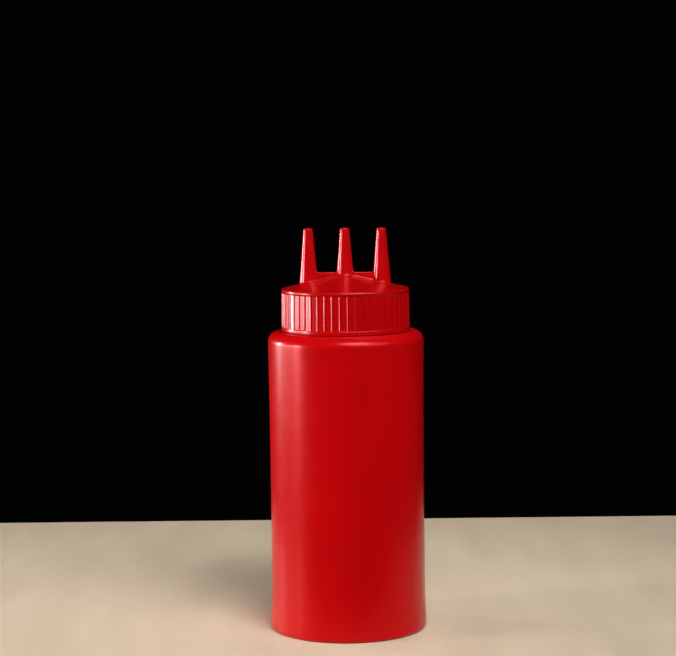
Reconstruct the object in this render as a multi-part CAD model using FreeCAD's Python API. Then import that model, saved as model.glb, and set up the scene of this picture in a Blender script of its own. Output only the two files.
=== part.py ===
import FreeCAD, Part
import math
import os

# A squeeze bottle with a ribbed screw cap that carries three tapered nozzles in a row.
# Millimetres. +Z is up, the origin is the middle of the base, and the nozzles stand along X.

# Bottle body
bodyRadius = 35.0            # at the top of the wall, where the shoulder starts
waistDip = 0.235             # how far the wall draws in between foot and shoulder
wallFootDraw = 0.15          # how much slimmer than bodyRadius the wall is above the foot's flare
footFlare = 0.3              # how much wider than bodyRadius the foot is
footFlareHeight = 18.0       # where the flare meets the wall
footFlareBulge = 0.05        # how far the flare hollows between its ends
baseEdgeRadius = 1.6         # rounding of the base edge
standingWidth = 7.7          # of the flat ring that the bottle stands on
recessDepth = 1.4            # of the hollow in the base, inside the standing ring
recessSlope = 3.0            # width of the hollow's sloping side
shoulderHeight = 135.2       # of the flat top of the shoulder, beside the cap
shoulderEdgeRadius = 4.7     # rounding between the wall and the shoulder
shoulderRise = 0.1           # of the shoulder's top, from its rounding in to the neck
shoulderWidth = 6.2          # from the wall in to the cap's ring

# Cap
capGap = 0.2                 # between the shoulder's top and the cap's lower edge
capHeight = 19.0             # from the cap's lower edge to the foot of its cone
capWall = 1.9                # of the skirt, under the ribs
deckWall = 1.8               # under the cone
neckClearance = 0.4          # between neck and skirt, all round
sealWidth = 2.6              # of the flat land inside the cap that rests on the neck
ringHeight = 2.0             # of the plain ring round the cap's lower edge
ringLowerEdge = 0.3          # rounding of the ring's lower edge
skirtDepth = 0.4             # from the ring's face in to the wall between the ribs
skirtDraft = 0.2             # how much slimmer the skirt is at its top
rimHeight = 0.7              # of the plain band under the rim's rounding
rimRadius = 0.8              # rounding of the rim
rimSlope = 0.5               # height over which the skirt widens to the rim
coneAngle = math.radians(13.0)

# Ribs
ribCount = 52
ribRadius = 0.55             # of each rib's rounded back
ribSink = 0.05               # how far the ribs' backs lie inside the ring and the rim
ribTurn = 0.3                # where the first rib stands, in pitches from -Y

# Nozzles and web
nozzleInset = 11.4           # from the foot of the cone in to the axis of an outer nozzle
nozzleHeight = 26.8          # from the foot of the cone to the tips
tipRadius = 2.05
tipEdgeRadius = 0.35         # rounding of the tip's outer edge
nozzleTaper = 0.086          # growth of the radius for each millimetre down
tipBoreRadius = 1.2
boreTaper = 0.045
webRise = 0.6                # of the web's upper edge above the top of the cone
webThickness = 3.0
webCornerRadius = 0.9        # where the web's upper edge runs up into a nozzle

# Worked out from these
wallFootRadius = bodyRadius - wallFootDraw
footRadius = bodyRadius + footFlare
recessRadius = footRadius - baseEdgeRadius - standingWidth
ringRadius = bodyRadius - shoulderWidth
capBottom = shoulderHeight + capGap
deckHeight = capBottom + capHeight
ceilingHeight = deckHeight - deckWall
ringTop = capBottom + ringHeight
skirtFootRadius = ringRadius - skirtDepth
skirtTopRadius = skirtFootRadius - skirtDraft
rimSideRadius = ringRadius - skirtDraft
rimInnerRadius = rimSideRadius - rimRadius
rimBottom = deckHeight - rimRadius - rimHeight
cavityRadius = skirtTopRadius - capWall
neckRadius = cavityRadius - neckClearance
landInnerRadius = neckRadius - sealWidth
coneSlope = math.tan(coneAngle)
coneTop = deckHeight + rimInnerRadius * coneSlope
tipHeight = deckHeight + nozzleHeight
webTop = coneTop + webRise
nozzleSpacing = rimInnerRadius - nozzleInset
nozzleCentres = [-nozzleSpacing, 0.0, nozzleSpacing]

axisPoint = FreeCAD.Vector(0, 0, 0)
up = FreeCAD.Vector(0, 0, 1)


def at(radius, height):
    """A point of a profile in the XZ plane."""
    return FreeCAD.Vector(radius, 0, height)


def line(start, end):
    return Part.LineSegment(start, end).toShape()


def arc(start, middle, end):
    return Part.Arc(start, middle, end).toShape()


def roundedCorner(centre, radius, fromAngle, toAngle):
    """A round stretch of a profile, by its centre and the angles of its ends in degrees."""
    points = []
    for angle in (fromAngle, 0.5 * (fromAngle + toAngle), toAngle):
        turn = math.radians(angle)
        points.append(centre + at(radius * math.cos(turn), radius * math.sin(turn)))
    return arc(*points)


def joined(pieces):
    """One closed wire: the pieces in order, with straight lines across the gaps between them."""
    edges = []
    for index, piece in enumerate(pieces):
        edges.append(piece)
        last = piece.Vertexes[-1].Point
        following = pieces[(index + 1) % len(pieces)].Vertexes[0].Point
        if last.distanceToPoint(following) > 1e-6:
            edges.append(line(last, following))
    return Part.Wire(edges)


def revolved(pieces):
    return Part.Face(joined(pieces)).revolve(axisPoint, up, 360)


def makeBottle():
    """The body, its shoulder and the plain neck inside the cap, as one solid of revolution."""
    wallTop = shoulderHeight - shoulderEdgeRadius
    flareFoot = baseEdgeRadius + 2.0
    wallMiddle = at(
        0.5 * (bodyRadius + wallFootRadius) - waistDip,
        0.5 * (footFlareHeight + wallTop),
    )
    flareMiddle = at(
        0.5 * (footRadius + wallFootRadius) - footFlareBulge,
        0.5 * (flareFoot + footFlareHeight),
    )
    neckFoot = shoulderHeight + shoulderRise
    return revolved([
        line(at(0, recessDepth), at(recessRadius - recessSlope, recessDepth)),
        line(at(recessRadius, 0), at(footRadius - baseEdgeRadius, 0)),
        roundedCorner(at(footRadius - baseEdgeRadius, baseEdgeRadius), baseEdgeRadius, -90, 0),
        arc(at(footRadius, flareFoot), flareMiddle, at(wallFootRadius, footFlareHeight)),
        arc(at(wallFootRadius, footFlareHeight), wallMiddle, at(bodyRadius, wallTop)),
        roundedCorner(at(bodyRadius - shoulderEdgeRadius, wallTop), shoulderEdgeRadius, 0, 90),
        line(at(neckRadius, neckFoot), at(neckRadius, ceilingHeight)),
        line(at(neckRadius, ceilingHeight), at(0, ceilingHeight)),
    ])


def makeCapBlank():
    """The cap's outer form without ribs, filled: skirt, ring, rim and cone."""
    return revolved([
        line(at(0, capBottom), at(ringRadius - ringLowerEdge, capBottom)),
        roundedCorner(
            at(ringRadius - ringLowerEdge, capBottom + ringLowerEdge), ringLowerEdge, -90, 0
        ),
        roundedCorner(at(skirtFootRadius, ringTop - skirtDepth), skirtDepth, 0, 90),
        line(at(skirtFootRadius, ringTop), at(skirtTopRadius, rimBottom - rimSlope)),
        line(at(rimSideRadius, rimBottom), at(rimSideRadius, rimBottom + rimHeight)),
        roundedCorner(at(rimInnerRadius, deckHeight - rimRadius), rimRadius, 0, 90),
        line(at(rimInnerRadius, deckHeight), at(0, coneTop)),
    ])


def makeCapCavity():
    """The space inside the cap: round the neck, and the low cone above the sealing land."""
    return revolved([
        line(at(0, capBottom), at(cavityRadius, capBottom)),
        line(at(cavityRadius, ceilingHeight), at(landInnerRadius, ceilingHeight)),
        line(
            at(landInnerRadius, ceilingHeight),
            at(0, ceilingHeight + landInnerRadius * coneSlope),
        ),
    ])


def makeRibs():
    """Round-backed ribs that lean in with the skirt, from inside the ring to inside the rim."""
    footHeight = ringTop - 0.5 * ringHeight
    topHeight = rimBottom + 0.5 * rimHeight
    foot = at(ringRadius - ribSink - ribRadius, footHeight)
    top = at(rimSideRadius - ribSink - ribRadius, topHeight)
    rib = Part.makeCylinder(ribRadius, foot.distanceToPoint(top), foot, top - foot)
    ribs = []
    for index in range(ribCount):
        turned = rib.copy()
        turned.rotate(axisPoint, up, (index + ribTurn) * 360.0 / ribCount - 90.0)
        ribs.append(turned)
    return ribs


def nozzleRadiusAt(height):
    return tipRadius + (tipHeight - height) * nozzleTaper


def makeNozzle(centre):
    """A tapered nozzle with a flat, round-edged tip, from the foot of the cone up."""
    lean = math.atan(nozzleTaper)
    edgeHeight = tipHeight - tipEdgeRadius
    edgeCentre = at(nozzleRadiusAt(edgeHeight) - tipEdgeRadius / math.cos(lean), edgeHeight)
    nozzle = revolved([
        line(at(0, deckHeight), at(nozzleRadiusAt(deckHeight), deckHeight)),
        roundedCorner(edgeCentre, tipEdgeRadius, math.degrees(lean), 90),
        line(at(edgeCentre.x, tipHeight), at(0, tipHeight)),
    ])
    nozzle.translate(FreeCAD.Vector(centre, 0, 0))
    return nozzle


def makeBore(centre):
    """The tapered bore, from the space inside the cap to just past the tip."""
    passed = 1.0
    footRadiusOfBore = tipBoreRadius + (tipHeight - ceilingHeight) * boreTaper
    topRadiusOfBore = tipBoreRadius - passed * boreTaper
    length = tipHeight + passed - ceilingHeight
    return Part.makeCone(
        footRadiusOfBore, topRadiusOfBore, length, FreeCAD.Vector(centre, 0, ceilingHeight)
    )


def makeWebBay(left, right):
    """The web between two nozzles, its upper edge curving up into each of them."""
    side = nozzleRadiusAt(webTop)
    cornerLeft = at(left + side + webCornerRadius, webTop + webCornerRadius)
    cornerRight = at(right - side - webCornerRadius, webTop + webCornerRadius)
    profile = joined([
        line(at(left, webTop + webCornerRadius), at(left, deckHeight)),
        line(at(left, deckHeight), at(right, deckHeight)),
        line(at(right, deckHeight), at(right, webTop + webCornerRadius)),
        roundedCorner(cornerRight, webCornerRadius, 0, -90),
        roundedCorner(cornerLeft, webCornerRadius, -90, -180),
    ])
    bay = Part.Face(profile).extrude(FreeCAD.Vector(0, webThickness, 0))
    bay.translate(FreeCAD.Vector(0, -0.5 * webThickness, 0))
    return bay


def makeCap():
    """Skirt, ribs, cone, nozzles and web: one moulding, open inside."""
    nozzles = [makeNozzle(centre) for centre in nozzleCentres]
    bays = [makeWebBay(left, right) for left, right in zip(nozzleCentres, nozzleCentres[1:])]
    bores = [makeBore(centre) for centre in nozzleCentres]
    blank = makeCapBlank().multiFuse(makeRibs() + nozzles + bays)
    return blank.cut([makeCapCavity()] + bores)


def solidOf(shape):
    """The one solid that a piece has to be."""
    tidy = shape.removeSplitter()
    assert len(tidy.Solids) == 1, "a piece came out as %d solids" % len(tidy.Solids)
    return tidy.Solids[0]


os.makedirs("parts", exist_ok=True)
pieces = {"bottle": makeBottle(), "cap": makeCap()}
for name, shape in pieces.items():
    solid = solidOf(shape)
    solid.exportStep("parts/%s.step" % name)
    print(name, "volume", round(solid.Volume), "mm3", "valid", solid.isValid())
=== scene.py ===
import math

import bmesh
import bpy
from mathutils import Matrix, Vector


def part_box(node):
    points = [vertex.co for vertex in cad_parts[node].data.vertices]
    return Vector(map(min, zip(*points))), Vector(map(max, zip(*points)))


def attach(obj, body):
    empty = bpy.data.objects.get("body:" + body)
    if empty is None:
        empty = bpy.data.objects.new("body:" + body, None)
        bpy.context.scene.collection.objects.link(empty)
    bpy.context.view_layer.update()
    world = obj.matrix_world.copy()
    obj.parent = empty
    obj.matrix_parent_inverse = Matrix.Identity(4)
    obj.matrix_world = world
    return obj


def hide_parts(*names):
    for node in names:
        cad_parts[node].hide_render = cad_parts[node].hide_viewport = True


# A red squeeze bottle with a ribbed screw cap and three nozzles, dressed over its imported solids.
# Sizes in the dictionaries are in millimetres and degrees, and each mesh is scaled to metres last.

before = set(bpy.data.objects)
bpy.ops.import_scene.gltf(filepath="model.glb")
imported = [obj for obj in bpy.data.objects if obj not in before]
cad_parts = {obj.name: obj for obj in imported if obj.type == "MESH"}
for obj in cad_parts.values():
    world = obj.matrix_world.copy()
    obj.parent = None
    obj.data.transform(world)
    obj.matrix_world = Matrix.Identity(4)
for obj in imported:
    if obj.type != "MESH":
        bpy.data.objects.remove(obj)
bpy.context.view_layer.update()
bottleLow, bottleHigh = (corner * 1000 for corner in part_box("bottle"))
capLow, capHigh = (corner * 1000 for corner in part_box("cap"))
mm = 0.001
hair = 0.001               # kept off a rounding that would otherwise fill its whole edge
near = 0.01                # slack where vertices are picked by their place
upward = Vector((0, 0, 1))
print("frame loaded")


# Helpers for the meshes

def wire(bm, points, closed=False):
    # a chain of edges in the XZ plane, through points given as (x, z)
    verts = [bm.verts.new((x, 0, z)) for x, z in points]
    following = verts[1:] + verts[:1] if closed else verts[1:]
    for start, end in zip(verts, following):
        bm.edges.new((start, end))
    return verts


def roundCorner(bm, vert, radius, segments=6):
    bmesh.ops.bevel(
        bm, geom=[vert], offset=radius, offset_type="OFFSET", segments=segments,
        profile=0.5, affect="VERTICES", material=-1,
    )


def spinRound(bm, steps):
    bmesh.ops.spin(
        bm, geom=bm.verts[:] + bm.edges[:], cent=(0, 0, 0), axis=upward,
        angle=2 * math.pi, steps=steps, use_merge=True,
    )
    closeUp(bm)


def closeUp(bm):
    bmesh.ops.remove_doubles(bm, verts=bm.verts, dist=1e-4)
    bmesh.ops.recalc_face_normals(bm, faces=bm.faces)


def subdivideAlong(bm, edges, cuts):
    bmesh.ops.subdivide_edges(bm, edges=edges, cuts=cuts)


def addTo(bm, other):
    carrier = bpy.data.meshes.new("carrier")
    other.to_mesh(carrier)
    other.free()
    bm.from_mesh(carrier)
    bpy.data.meshes.remove(carrier)


def newObject(name, bm, material, creaseAngle=38):
    # smooth shading, broken where two faces meet at more than the crease angle
    for face in bm.faces:
        face.smooth = True
    for edge in bm.edges:
        edge.smooth = edge.calc_face_angle(0) < math.radians(creaseAngle)
    openEdges = sum(1 for edge in bm.edges if not edge.is_manifold)
    bmesh.ops.scale(bm, verts=bm.verts, vec=(mm, mm, mm))
    mesh = bpy.data.meshes.new(name)
    bm.to_mesh(mesh)
    bm.free()
    mesh.materials.append(material)
    piece = bpy.data.objects.new(name, mesh)
    bpy.context.scene.collection.objects.link(piece)
    print(name, "has", len(mesh.polygons), "faces and", openEdges, "open edges")
    return piece


# Materials

def nodeMaterial(name):
    material = bpy.data.materials.new(name)
    material.use_nodes = True
    tree = material.node_tree
    return material, tree, tree.nodes["Principled BSDF"]


def noiseOf(tree, scale, detail=2.0, stretch=(1, 1, 1)):
    # noise on Object coordinates; the scale counts features to the metre
    place = tree.nodes.new("ShaderNodeTexCoord")
    mapping = tree.nodes.new("ShaderNodeMapping")
    mapping.inputs["Scale"].default_value = stretch
    noise = tree.nodes.new("ShaderNodeTexNoise")
    noise.inputs["Scale"].default_value = scale
    noise.inputs["Detail"].default_value = detail
    tree.links.new(place.outputs["Object"], mapping.inputs["Vector"])
    tree.links.new(mapping.outputs["Vector"], noise.inputs["Vector"])
    return noise.outputs["Fac"]


def ranged(tree, value, low, high, middle=(0.3, 0.7)):
    # spreads the middle of a noise over low to high
    spread = tree.nodes.new("ShaderNodeMapRange")
    spread.inputs["From Min"].default_value = middle[0]
    spread.inputs["From Max"].default_value = middle[1]
    spread.inputs["To Min"].default_value = low
    spread.inputs["To Max"].default_value = high
    tree.links.new(value, spread.inputs["Value"])
    return spread.outputs["Result"]


def blended(tree, share, first, second):
    mix = tree.nodes.new("ShaderNodeMix")
    mix.data_type = "RGBA"
    mix.inputs["A"].default_value = first
    mix.inputs["B"].default_value = second
    tree.links.new(share, mix.inputs["Factor"])
    return mix.outputs["Result"]


def bumped(tree, height, depth, under=None):
    bump = tree.nodes.new("ShaderNodeBump")
    bump.inputs["Distance"].default_value = depth * mm
    tree.links.new(height, bump.inputs["Height"])
    if under is not None:
        tree.links.new(under, bump.inputs["Normal"])
    return bump.outputs["Normal"]


bottlePlastic = {
    "base": (0.45, 0.0016, 0.0026, 1),
    "deep": (0.42, 0.0014, 0.0023, 1),
    "roughness": (0.23, 0.27),
    "specular": 0.5,
    "glint": (1, 0.2, 0.2, 1),
    "patch": 45,               # cloudiness of the pigment, features to the metre
    "wear": 180,               # changes of the gloss
    "skin": 900,               # orange peel of the blown wall
    "skinDepth": 0.004,
    "flow": 260,               # upright marks that the parison leaves
    "flowStretch": 0.04,
    "flowDepth": 0.006,
}
capPlastic = {
    "base": (0.412, 0.0015, 0.0024, 1),
    "deep": (0.385, 0.0013, 0.0022, 1),
    "roughness": (0.21, 0.24),
    "specular": 0.5,
    "glint": (1, 0.36, 0.36, 1),
    "patch": 70,
    "wear": 280,
    "skin": 1300,
    "skinDepth": 0.0025,
}


def redPlastic(name, sizes):
    material, tree, shader = nodeMaterial(name)
    cloud = ranged(tree, noiseOf(tree, sizes["patch"], 3), 0, 1)
    tree.links.new(blended(tree, cloud, sizes["base"], sizes["deep"]), shader.inputs["Base Color"])
    shader.inputs["Specular IOR Level"].default_value = sizes["specular"]
    shader.inputs["Specular Tint"].default_value = sizes["glint"]
    wear = noiseOf(tree, sizes["wear"], 4)
    tree.links.new(ranged(tree, wear, *sizes["roughness"]), shader.inputs["Roughness"])
    normal = bumped(tree, noiseOf(tree, sizes["skin"], 2), sizes["skinDepth"])
    if "flow" in sizes:
        streaks = noiseOf(tree, sizes["flow"], 2, stretch=(1, 1, sizes["flowStretch"]))
        normal = bumped(tree, streaks, sizes["flowDepth"], under=normal)
    tree.links.new(normal, shader.inputs["Normal"])
    return material


redBottle = redPlastic("redBlownPlastic", bottlePlastic)
redCap = redPlastic("redMouldedPlastic", capPlastic)
print("plastics ready")


# Bottle

bottleSizes = {
    "waistDip": 0.235,         # how far the wall draws in between foot and shoulder
    "wallFootDraw": 0.15,
    "footFlare": 0.3,          # how much wider the foot is than the top of the wall
    "footFlareHeight": 18.0,
    "footFlareBulge": 0.05,
    "baseEdge": 1.6,
    "baseEdgeLand": 2.0,       # plain wall between the base's rounding and the flare
    "standingWidth": 7.7,
    "recessDepth": 1.4,
    "recessSlope": 3.0,
    "shoulderHeight": 135.2,
    "shoulderEdge": 4.7,
    "shoulderRise": 0.1,
    "neckRadius": 25.9,
    "baseSteps": 10,
    "shoulderSteps": 22,
    "wallRings": 56,
    "steps": 208,
}


def wallRadius(height, footRadius, bodyRadius, wallTop):
    # the flare of the foot, then the long wall with its slight waist
    flareFoot = bottleSizes["baseEdge"] + bottleSizes["baseEdgeLand"]
    flareTop = bottleSizes["footFlareHeight"]
    wallFootRadius = bodyRadius - bottleSizes["wallFootDraw"]
    if height < flareTop:
        share = max(0, (height - flareFoot) / (flareTop - flareFoot))
        straight = footRadius + (wallFootRadius - footRadius) * share
        return straight - 4 * bottleSizes["footFlareBulge"] * share * (1 - share)
    share = (height - flareTop) / (wallTop - flareTop)
    straight = wallFootRadius + (bodyRadius - wallFootRadius) * share
    return straight - 4 * bottleSizes["waistDip"] * share * (1 - share)


def makeBottleShell():
    sizes = bottleSizes
    footRadius = 0.5 * (bottleHigh.x - bottleLow.x)
    bodyRadius = footRadius - sizes["footFlare"]
    wallTop = sizes["shoulderHeight"] - sizes["shoulderEdge"]
    flareFoot = sizes["baseEdge"] + sizes["baseEdgeLand"]
    recessRadius = footRadius - sizes["baseEdge"] - sizes["standingWidth"]
    bm = bmesh.new()
    verts = wire(bm, [
        (0, sizes["recessDepth"]),
        (recessRadius - sizes["recessSlope"], sizes["recessDepth"]),
        (recessRadius, 0),
        (footRadius, 0),
        (footRadius, flareFoot),
        (bodyRadius, sizes["shoulderHeight"]),
        (sizes["neckRadius"], sizes["shoulderHeight"] + sizes["shoulderRise"]),
        (sizes["neckRadius"], bottleHigh.z),
        (0, bottleHigh.z),
    ])
    roundCorner(bm, verts[3], sizes["baseEdge"], sizes["baseSteps"])
    roundCorner(bm, verts[5], sizes["shoulderEdge"], sizes["shoulderSteps"])
    wall = max(bm.edges, key=lambda edge: edge.calc_length())
    subdivideAlong(bm, [wall], sizes["wallRings"])
    for vert in bm.verts:
        onWall = flareFoot <= vert.co.z <= wallTop + near
        if onWall and vert.co.x > sizes["neckRadius"]:
            vert.co.x = wallRadius(vert.co.z, footRadius, bodyRadius, wallTop)
    spinRound(bm, sizes["steps"])
    return newObject("bottleShell", bm, redBottle)


bottleShell = makeBottleShell()
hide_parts("bottle")
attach(bottleShell, "root")
print("bottle made")


# Cap: skirt with ribs, rim and cone

capSizes = {
    "height": 19.0,            # from the cap's lower edge to the foot of its cone
    "wall": 1.9,
    "deckWall": 1.8,
    "sealWidth": 2.6,
    "neckClearance": 0.4,
    "ringHeight": 2.0,
    "ringLowerEdge": 0.3,
    "skirtDepth": 0.4,
    "skirtDraft": 0.2,
    "rimHeight": 0.7,
    "rimRadius": 0.8,
    "rimSlope": 0.5,
    "rimFootEdge": 0.12,
    "rimSteps": 12,
    "coneAngle": 13.0,
    "coneEdge": 0.6,           # outermost band of the cone, whose shading turns to the rim's
    "coneRings": 7,
    "skirtHold": 0.03,         # share of the skirt at each end, whose shading turns to its neighbour's
}
ribSizes = {
    "count": 52,
    "radius": 0.55,
    "sink": 0.05,
    "turn": 0.3,               # where the first rib stands, in pitches from -Y
    "stepsEach": 16,
    "share": 0.15,             # of a pitch, on each side of a rib's middle, that half the steps fill
    "reach": 1.0,              # how far below the ring's top the ribs start
    "spare": 0.1,              # how far above the rim's foot they still lift the skirt
}
ringRadius = 0.5 * (capHigh.x - capLow.x)
deckHeight = capLow.z + capSizes["height"]
skirtFootRadius = ringRadius - capSizes["skirtDepth"]
skirtTopRadius = skirtFootRadius - capSizes["skirtDraft"]
rimSideRadius = ringRadius - capSizes["skirtDraft"]
rimInnerRadius = rimSideRadius - capSizes["rimRadius"]
rimBottom = deckHeight - capSizes["rimRadius"] - capSizes["rimHeight"]
ringTop = capLow.z + capSizes["ringHeight"]
ribPitch = 2 * math.pi / ribSizes["count"]
coneSlope = math.tan(math.radians(capSizes["coneAngle"]))
coneTop = deckHeight + rimInnerRadius * coneSlope


def coneHeight(x, y):
    return coneTop - coneSlope * math.hypot(x, y)


def capProfile(bm):
    sizes = capSizes
    ceiling = deckHeight - sizes["deckWall"]
    cavityRadius = skirtTopRadius - sizes["wall"]
    landRadius = cavityRadius - sizes["neckClearance"] - sizes["sealWidth"]
    skirtTop = Vector((skirtTopRadius, rimBottom - sizes["rimSlope"]))
    skirtFoot = Vector((skirtFootRadius, ringTop))
    verts = wire(bm, [
        (0, coneTop),
        (rimInnerRadius - sizes["coneEdge"], deckHeight + sizes["coneEdge"] * coneSlope),
        (rimInnerRadius, deckHeight),
        (rimSideRadius, deckHeight),
        (rimSideRadius, rimBottom),
        skirtTop,
        skirtTop.lerp(skirtFoot, sizes["skirtHold"]),
        skirtTop.lerp(skirtFoot, 1 - sizes["skirtHold"]),
        skirtFoot,
        (ringRadius, ringTop),
        (ringRadius, capLow.z),
        (cavityRadius, capLow.z),
        (cavityRadius, ceiling),
        (landRadius, ceiling),
        (0, ceiling + landRadius * coneSlope),
    ])
    cone = list(verts[0].link_edges)
    roundCorner(bm, verts[3], sizes["rimRadius"] - hair, sizes["rimSteps"])
    roundCorner(bm, verts[4], sizes["rimFootEdge"], 2)
    roundCorner(bm, verts[9], sizes["skirtDepth"] - hair, 5)
    roundCorner(bm, verts[10], sizes["ringLowerEdge"], 4)
    subdivideAlong(bm, cone, sizes["coneRings"])


def ribTurns(vert):
    # where a vertex stands round the cap, in pitches from the first rib
    return (math.atan2(vert.co.y, vert.co.x) + 0.5 * math.pi) / ribPitch - ribSizes["turn"]


def bunchSteps(bm):
    # moves the steps of the spin closer together over each rib
    quarter = 0.25
    for vert in bm.verts:
        radius = math.hypot(vert.co.x, vert.co.y)
        turns = ribTurns(vert)
        middle = round(turns)
        aside = turns - middle
        inner = min(abs(aside), quarter) / quarter * ribSizes["share"]
        outer = max(abs(aside) - quarter, 0) / quarter * (0.5 - ribSizes["share"])
        moved = middle + math.copysign(inner + outer, aside) + ribSizes["turn"]
        angle = moved * ribPitch - 0.5 * math.pi
        vert.co.x = radius * math.cos(angle)
        vert.co.y = radius * math.sin(angle)


def raiseRibs(bm):
    # lifts the skirt's outer face to the round back of each rib
    sizes = ribSizes
    footMiddle = ringRadius - sizes["sink"] - sizes["radius"]
    topMiddle = rimSideRadius - sizes["sink"] - sizes["radius"]
    lowest = ringTop - sizes["reach"]
    highest = rimBottom + sizes["spare"]
    for vert in bm.verts:
        radius = math.hypot(vert.co.x, vert.co.y)
        if radius < skirtTopRadius - near or not lowest < vert.co.z < highest:
            continue
        turns = ribTurns(vert)
        aside = radius * math.sin((turns - round(turns)) * ribPitch)
        if abs(aside) > sizes["radius"]:
            continue
        share = (vert.co.z - ringTop) / (rimBottom - ringTop)
        middle = footMiddle + (topMiddle - footMiddle) * share
        back = middle + math.sqrt(sizes["radius"] ** 2 - aside ** 2)
        if back > radius:
            vert.co.x *= back / radius
            vert.co.y *= back / radius


def makeCapBody():
    bm = bmesh.new()
    capProfile(bm)
    spinRound(bm, ribSizes["count"] * ribSizes["stepsEach"])
    bunchSteps(bm)
    raiseRibs(bm)
    return bm


# Nozzles and the web between them

nozzleSizes = {
    "inset": 11.4,             # from the foot of the cone in to the axis of an outer nozzle
    "tipRadius": 2.05,
    "tipEdge": 0.35,
    "taper": 0.086,
    "boreRadius": 1.2,
    "boreTaper": 0.045,
    "boreEdge": 0.12,
    "footFillet": 0.8,
    "drape": 5.0,              # height over which a foot gives up following the cone
    "filletSteps": 10,
    "sideRings": 10,
    "steps": 64,
}
webSizes = {
    "rise": 0.6,               # of the web's upper edge above the top of the cone
    "thickness": 3.0,
    "corner": 0.9,             # where the upper edge runs up into a nozzle
    "topEdge": 0.3,
    "footFillet": 0.5,
    "filletShare": 0.75,       # of the web's own height, that its foot's fillet may fill
    "filletSteps": 6,
    "topSteps": 4,
    "cuts": 70,
}
moulding = {
    "sink": 1.5,               # how far feet reach into the deck
    "lip": 0.03,               # how far a fillet's thin edge lies under the cone
}
nozzleSpacing = rimInnerRadius - nozzleSizes["inset"]
nozzleCentres = [-nozzleSpacing, 0.0, nozzleSpacing]
webTop = coneTop + webSizes["rise"]


def nozzleRadiusAt(height):
    return nozzleSizes["tipRadius"] + (capHigh.z - height) * nozzleSizes["taper"]


def makeNozzle(centre):
    sizes = nozzleSizes
    foot = coneHeight(centre, 0)
    length = capHigh.z - foot
    footRadius = nozzleRadiusAt(foot)
    outer = footRadius + sizes["footFillet"]
    lip, sink = -moulding["lip"], -moulding["sink"]
    bm = bmesh.new()
    verts = wire(bm, [
        (outer, lip),
        (footRadius, lip),
        (sizes["tipRadius"], length),
        (sizes["boreRadius"], length),
        (sizes["boreRadius"] + sizes["boreTaper"] * length, sink),
        (outer, sink),
    ], closed=True)
    roundCorner(bm, verts[1], sizes["footFillet"] - hair, sizes["filletSteps"])
    roundCorner(bm, verts[2], sizes["tipEdge"], 5)
    roundCorner(bm, verts[3], sizes["boreEdge"], 2)
    bored = sizes["boreRadius"] + sizes["boreEdge"]
    outside = [edge for edge in bm.edges if min(vert.co.x for vert in edge.verts) > bored]
    side = max(outside, key=lambda edge: edge.calc_length())
    subdivideAlong(bm, [side], sizes["sideRings"])
    spinRound(bm, sizes["steps"])
    for vert in bm.verts:
        share = max(0, 1 - max(vert.co.z, 0) / sizes["drape"]) ** 2
        vert.co.z += share * (coneHeight(centre + vert.co.x, vert.co.y) - foot)
    bmesh.ops.translate(bm, verts=bm.verts, vec=(centre, 0, foot))
    return bm


def webEdge(x, left, right):
    # height of the web's upper edge, with a round corner beside each nozzle
    corner = webSizes["corner"]
    side = nozzleRadiusAt(webTop)
    aside = max(0, min(x - left - side, right - side - x, corner))
    return webTop + corner - math.sqrt(corner ** 2 - (corner - aside) ** 2)


def makeWebBay(left, right):
    sizes = webSizes
    half = 0.5 * sizes["thickness"]
    outer = half + sizes["footFillet"]
    nominal = 2 * sizes["footFillet"]
    bm = bmesh.new()
    verts = wire(bm, [
        (outer, 0),
        (half, 0),
        (half, nominal),
        (-half, nominal),
        (-half, 0),
        (-outer, 0),
        (-outer, -moulding["sink"]),
        (outer, -moulding["sink"]),
    ], closed=True)
    for index in (1, 4):
        roundCorner(bm, verts[index], sizes["footFillet"] - hair, sizes["filletSteps"])
    for index in (2, 3):
        roundCorner(bm, verts[index], sizes["topEdge"], sizes["topSteps"])
    quarterTurn = Matrix.Rotation(math.pi / 2, 3, "Z")
    bmesh.ops.rotate(bm, verts=bm.verts, cent=(0, 0, 0), matrix=quarterTurn)
    section = bmesh.ops.contextual_create(bm, geom=bm.edges[:])["faces"]
    farEnd = bmesh.ops.extrude_face_region(bm, geom=section)["geom"]
    farVerts = [item for item in farEnd if isinstance(item, bmesh.types.BMVert)]
    bmesh.ops.translate(bm, verts=farVerts, vec=(right - left, 0, 0))
    halfway = 0.5 * (right - left)
    lengthways = [edge for edge in bm.edges if abs(edge.verts[0].co.x - edge.verts[1].co.x) > halfway]
    subdivideAlong(bm, lengthways, sizes["cuts"])
    bmesh.ops.translate(bm, verts=bm.verts, vec=(left, 0, 0))
    for vert in bm.verts:
        edge = webEdge(vert.co.x, left, right)
        if vert.co.z > sizes["footFillet"] + near:
            vert.co.z += edge - nominal
            continue
        room = sizes["filletShare"] * (edge - coneHeight(vert.co.x, half))
        share = min(1, room / sizes["footFillet"])
        vert.co.y = math.copysign(half + share * (abs(vert.co.y) - half), vert.co.y)
        vert.co.z = min(vert.co.z, share * vert.co.z)
        vert.co.z += coneHeight(vert.co.x, vert.co.y) - moulding["lip"]
    closeUp(bm)
    return bm


def makeCapShell():
    bm = makeCapBody()
    for centre in nozzleCentres:
        addTo(bm, makeNozzle(centre))
    for left, right in zip(nozzleCentres, nozzleCentres[1:]):
        addTo(bm, makeWebBay(left, right))
    return newObject("capShell", bm, redCap)


capShell = makeCapShell()
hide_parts("cap")
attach(capShell, "root")
print("cap made")


# Floor

floorSizes = {
    "width": 430,
    "front": 80,
    "back": 254,
    "thick": 20,
    "grain": 18,               # features to the metre
    "grainStretch": (2.2, 0.5, 1),
    "pale": (0.58, 0.47, 0.34, 1),
    "paler": (0.64, 0.52, 0.38, 1),
    "roughness": (0.5, 0.62),
    "specular": 0.1,
}


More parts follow.
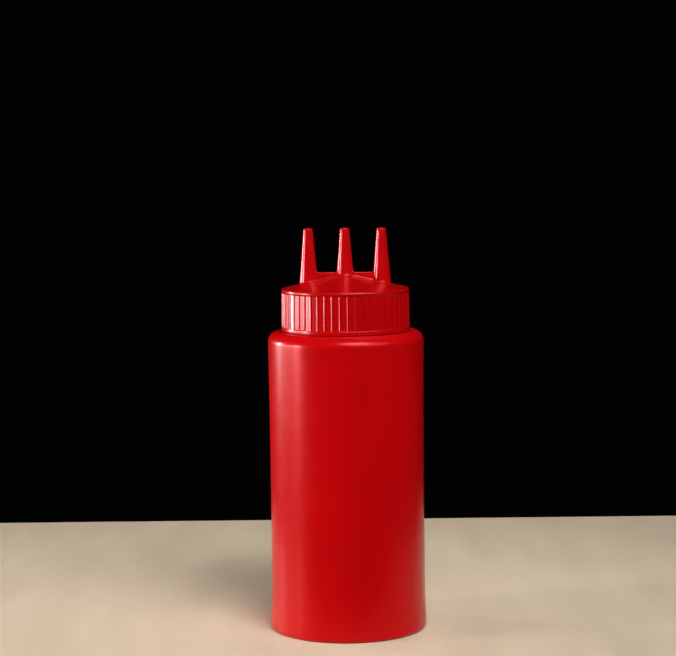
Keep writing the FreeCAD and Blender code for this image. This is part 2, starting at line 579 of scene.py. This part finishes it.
def makeFloor():
    sizes = floorSizes
    material, tree, shader = nodeMaterial("paleFloor")
    grain = noiseOf(tree, sizes["grain"], 4, stretch=sizes["grainStretch"])
    tree.links.new(
        blended(tree, ranged(tree, grain, 0, 1), sizes["pale"], sizes["paler"]),
        shader.inputs["Base Color"],
    )
    tree.links.new(ranged(tree, grain, *sizes["roughness"]), shader.inputs["Roughness"])
    shader.inputs["Specular IOR Level"].default_value = sizes["specular"]
    bm = bmesh.new()
    bmesh.ops.create_cube(bm, size=1)
    depth = sizes["front"] + sizes["back"]
    bmesh.ops.scale(bm, verts=bm.verts, vec=(sizes["width"], depth, sizes["thick"]))
    middle = Vector((0, sizes["back"] - 0.5 * depth, -0.5 * sizes["thick"]))
    bmesh.ops.translate(bm, verts=bm.verts, vec=middle)
    floor = newObject("floor", bm, material)


makeFloor()


# Light: the angle aside is counted from the front, -Y, towards +X

lights = {
    "windowNear": {
        "aside": -76, "height": 165, "distance": 900,
        "size": (110, 210), "power": 0.86, "spread": 70,
    },
    "windowMiddle": {
        "aside": -95, "height": 115, "distance": 900,
        "size": (420, 110), "power": 0.34, "spread": 70,
    },
    "windowFar": {
        "aside": -115, "height": 165, "distance": 900,
        "size": (85, 210), "power": 0.64, "spread": 70,
    },
    "ceiling": {
        "aside": 17, "height": 800, "distance": 640,
        "size": (640, 320), "power": 1.05, "spread": 50,
    },
    "frontFill": {
        "aside": 40, "height": 650, "distance": 850,
        "size": (900, 220), "power": 0.74, "spread": 70,
    },
    "backFill": {
        "aside": 165, "height": 1200, "distance": 400,
        "size": (400, 300), "power": 0.12, "spread": 60,
    },
}
roomGlow = (0.0006, 0.0006, 0.0006, 1)


def placeLight(name, sizes):
    data = bpy.data.lights.new(name, "AREA")
    data.shape = "RECTANGLE"
    data.size, data.size_y = (side * mm for side in sizes["size"])
    data.energy = sizes["power"]
    data.spread = math.radians(sizes["spread"])
    light = bpy.data.objects.new(name, data)
    bpy.context.scene.collection.objects.link(light)
    turn = math.radians(sizes["aside"])
    away = Vector((math.sin(turn), -math.cos(turn), 0)) * sizes["distance"]
    light.location = (away + upward * sizes["height"]) * mm
    fromMiddle = light.location - upward * 0.5 * capHigh.z * mm
    light.rotation_euler = fromMiddle.to_track_quat("Z", "Y").to_euler()


for name, sizes in lights.items():
    placeLight(name, sizes)

world = bpy.data.worlds.new("dimRoom")
bpy.context.scene.world = world
world.use_nodes = True
world.node_tree.nodes["Background"].inputs["Color"].default_value = roomGlow
bpy.context.scene.view_settings.view_transform = "Standard"
print("floor and light set")


# Camera

cameraSizes = {
    "distance": 930,
    "height": 228.05,
    "lens": 110.583,
    "sensor": 36,
    "pitch": 5.638,            # down
    "roll": 0.66,
    "yaw": -0.214,
}


def makeCamera():
    sizes = cameraSizes
    data = bpy.data.cameras.new("camera")
    data.sensor_width = sizes["sensor"]
    data.lens = sizes["lens"]
    camera = bpy.data.objects.new("camera", data)
    bpy.context.scene.collection.objects.link(camera)
    camera.location = Vector((0, -sizes["distance"], sizes["height"])) * mm
    turn = Matrix.Rotation(math.radians(-sizes["yaw"]), 3, "Z")
    turn = turn @ Matrix.Rotation(math.radians(90 - sizes["pitch"]), 3, "X")
    turn = turn @ Matrix.Rotation(math.radians(-sizes["roll"]), 3, "Z")
    camera.rotation_euler = turn.to_euler()
    bpy.context.scene.camera = camera


makeCamera()
print("camera set")
